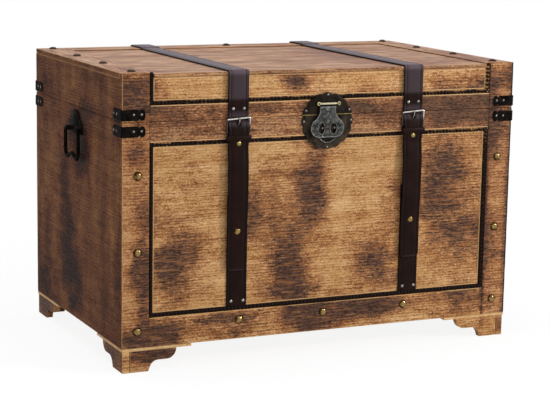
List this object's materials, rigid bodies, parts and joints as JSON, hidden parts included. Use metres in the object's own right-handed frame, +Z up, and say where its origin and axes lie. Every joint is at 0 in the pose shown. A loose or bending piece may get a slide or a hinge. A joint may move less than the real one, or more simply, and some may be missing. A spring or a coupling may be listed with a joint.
{
  "type": "sea chest",
  "caption": "Boarded storage chest on bracket feet: hinged lid, panelled front with rope mouldings, buckled leather straps, hasp latch, iron corner straps and drop handles",
  "frame": {"origin": "on the floor, under the middle of the whole box", "axes": "+X to the chest's right as seen from the front, along its length; +Y to the back; +Z up"},
  "size_m": [0.7852, 0.4944, 0.517],
  "materials": {
    "front_wood": "honey-tan distressed boards with smoky stains, satin",
    "smoked_wood": "brown-grey smoked boards, satin",
    "side_wood": "reddish brown smoked boards, satin",
    "top_wood": "taupe brown boards, satin",
    "pale_wood": "light tan bare boards",
    "moulding": "near-black beaded rope moulding, waxed",
    "leather": "near-black brown harness leather, slight sheen",
    "nickel": "bright nickel-plated wire",
    "black_iron": "black japanned iron, satin",
    "engraved_steel": "engraved gunmetal plate",
    "hinge_steel": "dark oiled steel"
  },
  "bodies": {
    "body": {"bottom_board": "pale_wood", "body_back_board": "side_wood", "body_front_panel": "front_wood", "body_left_board": "side_wood", "body_right_board": "side_wood", "body_left_stile": "front_wood", "body_right_stile": "front_wood", "body_upper_rail": "smoked_wood", "body_lower_rail": "smoked_wood", "body_rope_moulding": "moulding", "front_left_foot": "side_wood", "front_left_foot_plate": "pale_wood", "back_left_foot": "side_wood", "back_left_foot_plate": "pale_wood", "front_right_foot": "side_wood", "front_right_foot_plate": "pale_wood", "back_right_foot": "side_wood", "back_right_foot_plate": "pale_wood", "body_front_left_corner_strap": "black_iron", "body_back_left_corner_strap": "black_iron", "body_front_right_corner_strap": "black_iron", "body_back_right_corner_strap": "black_iron", "left_lower_strap": "leather", "right_lower_strap": "leather", "latch_lower_plate": "black_iron", "left_body_hinge_leaf": "hinge_steel", "right_body_hinge_leaf": "hinge_steel", "left_handle_plate": "black_iron", "right_handle_plate": "black_iron"},
    "lid": {"lid_rope_moulding": "moulding", "lid_front_panel": "front_wood", "lid_back_board": "side_wood", "lid_top_panel": "top_wood", "lid_back_rail": "top_wood", "lid_left_board": "side_wood", "lid_left_rail": "top_wood", "lid_left_stile": "smoked_wood", "lid_right_board": "side_wood", "lid_right_rail": "top_wood", "lid_right_stile": "smoked_wood", "lid_front_rail": "smoked_wood", "lid_front_left_corner_strap": "black_iron", "lid_back_left_corner_strap": "black_iron", "lid_front_right_corner_strap": "black_iron", "lid_back_right_corner_strap": "black_iron", "left_lid_strap": "leather", "right_lid_strap": "leather", "latch_upper_plate": "black_iron", "left_lid_hinge_leaf": "hinge_steel", "right_lid_hinge_leaf": "hinge_steel"},
    "hasp": {"hasp": "engraved_steel"},
    "left_bail": {"left_handle_bail": "black_iron"},
    "right_bail": {"right_handle_bail": "black_iron"},
    "left_flap": {"left_strap_tail": "leather", "left_buckle_frame": "nickel", "left_buckle_prong": "nickel"},
    "right_flap": {"right_strap_tail": "leather", "right_buckle_frame": "nickel", "right_buckle_prong": "nickel"}
  },
  "joints": [
    {"name": "lid_hinge", "type": "hinge", "parent": "body", "child": "lid", "pos_m": [0, 0.24315, 0.4305], "axis": [-1, 0, 0], "range_deg": [0, 100]},
    {"name": "hasp_hinge", "type": "hinge", "parent": "lid", "child": "hasp", "pos_m": [0, -0.24395, 0.451], "axis": [-1, 0, 0], "range_deg": [0, 150]},
    {"name": "left_flap_bend", "type": "hinge", "parent": "lid", "child": "left_flap", "pos_m": [-0.1703, -0.24045, 0.4406], "axis": [-1, 0, 0], "range_deg": [0, 110]},
    {"name": "right_flap_bend", "type": "hinge", "parent": "lid", "child": "right_flap", "pos_m": [0.1703, -0.24045, 0.4406], "axis": [-1, 0, 0], "range_deg": [0, 110]},
    {"name": "left_bail_hinge", "type": "hinge", "parent": "body", "child": "left_bail", "pos_m": [-0.3886, 0.00065, 0.39], "axis": [0, 1, 0], "range_deg": [0, 100]},
    {"name": "right_bail_hinge", "type": "hinge", "parent": "body", "child": "right_bail", "pos_m": [0.3886, 0.00065, 0.39], "axis": [0, -1, 0], "range_deg": [0, 100]}
  ]
}
